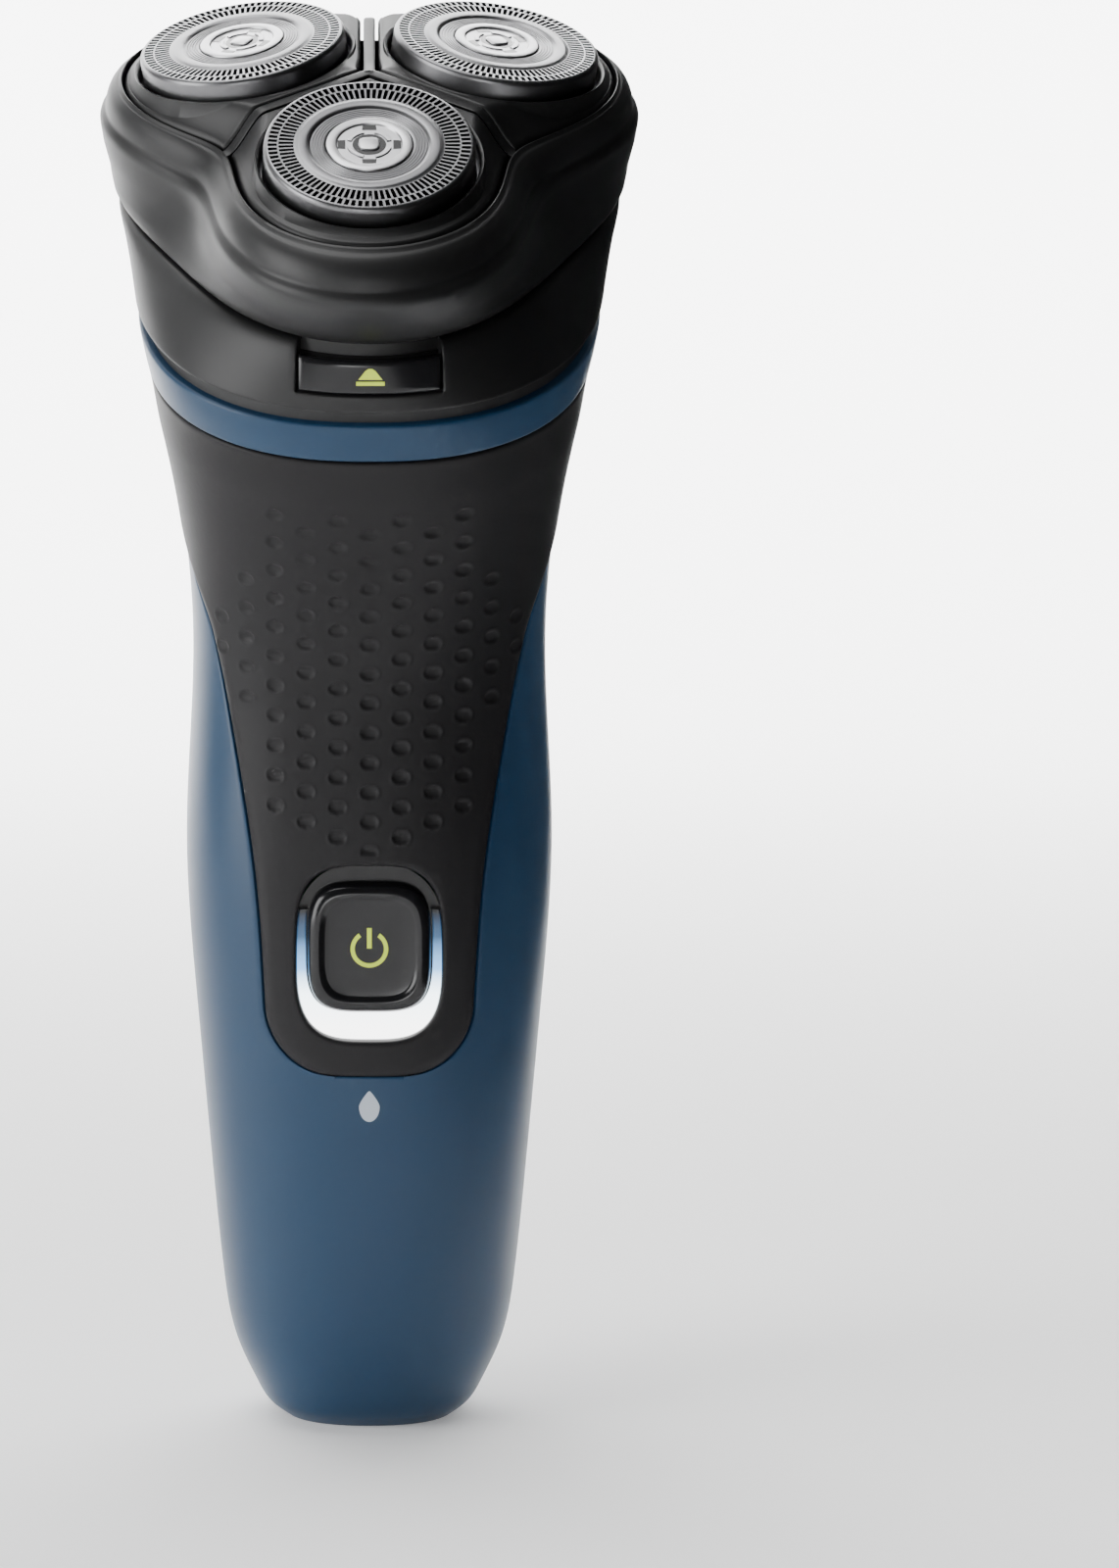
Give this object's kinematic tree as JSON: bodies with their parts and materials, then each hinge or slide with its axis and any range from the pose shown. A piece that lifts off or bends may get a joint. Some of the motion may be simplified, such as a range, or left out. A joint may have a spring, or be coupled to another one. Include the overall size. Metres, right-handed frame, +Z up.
{
  "type": "electric shaver",
  "caption": "Upright cordless rotary shaver: tapered handle with a forward-tilted flip-open head, tilting cutting units, power button with light and rear charging inlet.",
  "frame": {"origin": "centre of the flat foot at the bottom of the handle", "axes": "+Z up the handle, -Y the front with the power button, +X to the right seen from the front"},
  "size_m": [0.0608, 0.0607, 0.1603],
  "materials": {
    "blue_shell": "satin moulded",
    "grip_panel": "soft touch",
    "black_shell": "satin moulded",
    "black_gloss": "gloss",
    "rubber": "matt",
    "light_guide": "frosted",
    "board": "solder mask",
    "chip": "moulded",
    "cell_wrap": "shrink sleeve",
    "contact_metal": "plated",
    "guard_steel": "brushed",
    "cutter_steel": "ground",
    "plain_steel": "plain",
    "gear_plastic": "moulded"
  },
  "bodies": {
    "handle": {"main_housing": "blue_shell", "front_panel": "grip_panel", "neck_ring": "blue_shell", "neck_seal": "rubber", "hair_chamber": "black_shell", "light_guide": "light_guide", "button_plate": "black_gloss", "button_seal": "rubber", "circuit_board": "board", "tact_switch": "chip", "control_chip": "chip", "status_lights": "light_guide", "battery_cell_left": "cell_wrap", "battery_cell_right": "cell_wrap", "battery_contacts": "contact_metal", "inner_frame": "chip", "frame_screws": "plain_steel", "motor_can": "plain_steel", "motor_end_cap": "chip", "motor_magnets": "plain_steel", "motor_screws": "plain_steel", "gear_plate": "plain_steel", "gear_axles": "plain_steel", "plate_screws": "plain_steel", "spindle_seals": "rubber", "charging_socket": "chip", "socket_pins": "contact_metal", "release_spring": "plain_steel", "hinge_pin": "plain_steel"},
    "motor_rotor": {"rotor_core": "plain_steel", "motor_shaft": "plain_steel", "motor_pinion": "gear_plastic"},
    "middle_gear": {"compound_gear": "gear_plastic"},
    "power_button": {"power_button": "black_gloss"},
    "release_button": {"release_button": "black_shell"},
    "shaving_head": {"head_frame": "black_shell", "retaining_frame": "chip"},
    "lock_knob": {"lock_knob": "chip"},
    "drive_front": {"drive_gear_front": "gear_plastic", "drive_spindle_front": "gear_plastic", "spindle_spring_front": "plain_steel"},
    "pod_front": {"head_pod_front": "black_shell"},
    "guard_front": {"guard_front": "guard_steel", "guard_cap_front": "guard_steel"},
    "cutter_front": {"cutter_front": "cutter_steel"},
    "drive_right": {"drive_gear_right": "gear_plastic", "drive_spindle_right": "gear_plastic", "spindle_spring_right": "plain_steel"},
    "pod_right": {"head_pod_right": "black_shell"},
    "guard_right": {"guard_right": "guard_steel", "guard_cap_right": "guard_steel"},
    "cutter_right": {"cutter_right": "cutter_steel"},
    "drive_left": {"drive_gear_left": "gear_plastic", "drive_spindle_left": "gear_plastic", "spindle_spring_left": "plain_steel"},
    "pod_left": {"head_pod_left": "black_shell"},
    "guard_left": {"guard_left": "guard_steel", "guard_cap_left": "guard_steel"},
    "cutter_left": {"cutter_left": "cutter_steel"}
  },
  "joints": [
    {"name": "motor_spin", "type": "hinge", "parent": "handle", "child": "motor_rotor", "pos_m": [0, 0.00345, 0.11404], "axis": [0, -0.4226, 0.9063], "continuous": true},
    {"name": "middle_spin", "type": "hinge", "parent": "handle", "child": "middle_gear", "pos_m": [0, 0.00656, 0.12984], "axis": [0, -0.4226, 0.9063], "continuous": true},
    {"name": "drive_spin_front", "type": "hinge", "parent": "handle", "child": "drive_front", "pos_m": [0, -0.00898, 0.1259], "axis": [0, -0.4226, 0.9063], "continuous": true},
    {"name": "drive_spin_right", "type": "hinge", "parent": "handle", "child": "drive_right", "pos_m": [0.01364, 0.01243, 0.13589], "axis": [0, -0.4226, 0.9063], "continuous": true},
    {"name": "drive_spin_left", "type": "hinge", "parent": "handle", "child": "drive_left", "pos_m": [-0.01364, 0.01243, 0.13589], "axis": [0, -0.4226, 0.9063], "continuous": true},
    {"name": "head_open", "type": "hinge", "parent": "handle", "child": "shaving_head", "pos_m": [0, 0.02611, 0.14778], "axis": [-1, 0, 0], "range_deg": [0, 100]},
    {"name": "lock_turn", "type": "hinge", "parent": "shaving_head", "child": "lock_knob", "pos_m": [0, 0.00086, 0.14208], "axis": [0, -0.4226, 0.9063], "range_deg": [0, 90]},
    {"name": "pod_tilt_front", "type": "hinge", "parent": "shaving_head", "child": "pod_front", "pos_m": [0, -0.01618, 0.14149], "axis": [1, 0, 0], "range_deg": [-4, 4], "stiffness_Nm_per_rad": 0.05},
    {"name": "guard_float_front", "type": "slide", "parent": "pod_front", "child": "guard_front", "axis": [0, 0.5664, -0.8241], "range_m": [0, 0.001], "stiffness_N_per_m": 500, "springref_m": -0.001},
    {"name": "cutter_spin_front", "type": "hinge", "parent": "guard_front", "child": "cutter_front", "pos_m": [0, -0.01725, 0.14305], "axis": [0, -0.5664, 0.8241], "continuous": true},
    {"name": "pod_tilt_right", "type": "hinge", "parent": "shaving_head", "child": "pod_right", "pos_m": [0.01359, 0.00515, 0.15144], "axis": [-0.5, 0.7849, 0.366], "range_deg": [-4, 4], "stiffness_Nm_per_rad": 0.05},
    {"name": "guard_float_right", "type": "slide", "parent": "pod_right", "child": "guard_right", "axis": [-0.1429, 0.342, -0.9288], "range_m": [0, 0.001], "stiffness_N_per_m": 500, "springref_m": -0.001},
    {"name": "cutter_spin_right", "type": "hinge", "parent": "guard_right", "child": "cutter_right", "pos_m": [0.01386, 0.0045, 0.1532], "axis": [0.1429, -0.342, 0.9288], "continuous": true},
    {"name": "pod_tilt_left", "type": "hinge", "parent": "shaving_head", "child": "pod_left", "pos_m": [-0.01359, 0.00515, 0.15144], "axis": [-0.5, -0.7849, -0.366], "range_deg": [-4, 4], "stiffness_Nm_per_rad": 0.05},
    {"name": "guard_float_left", "type": "slide", "parent": "pod_left", "child": "guard_left", "axis": [0.1429, 0.342, -0.9288], "range_m": [0, 0.001], "stiffness_N_per_m": 500, "springref_m": -0.001},
    {"name": "cutter_spin_left", "type": "hinge", "parent": "guard_left", "child": "cutter_left", "pos_m": [-0.01386, 0.0045, 0.1532], "axis": [-0.1429, -0.342, 0.9288], "continuous": true},
    {"name": "power_press", "type": "slide", "parent": "handle", "child": "power_button", "axis": [0, 1, 0], "range_m": [0, 0.0005], "stiffness_N_per_m": 800, "springref_m": -0.0005},
    {"name": "release_press", "type": "slide", "parent": "handle", "child": "release_button", "axis": [0, 0.9063, 0.4226], "range_m": [0, 0.0012], "stiffness_N_per_m": 600, "springref_m": -0.0005, "deforming": ["release_spring"]}
  ],
  "couplings": [
    {"joint": "middle_spin", "follows": "motor_spin", "ratio": -0.46154},
    {"joint": "drive_spin_front", "follows": "motor_spin", "ratio": 0.44712},
    {"joint": "cutter_spin_front", "follows": "motor_spin", "ratio": 0.44712},
    {"joint": "drive_spin_right", "follows": "motor_spin", "ratio": 0.44712},
    {"joint": "cutter_spin_right", "follows": "motor_spin", "ratio": 0.44712},
    {"joint": "drive_spin_left", "follows": "motor_spin", "ratio": 0.44712},
    {"joint": "cutter_spin_left", "follows": "motor_spin", "ratio": 0.44712}
  ]
}
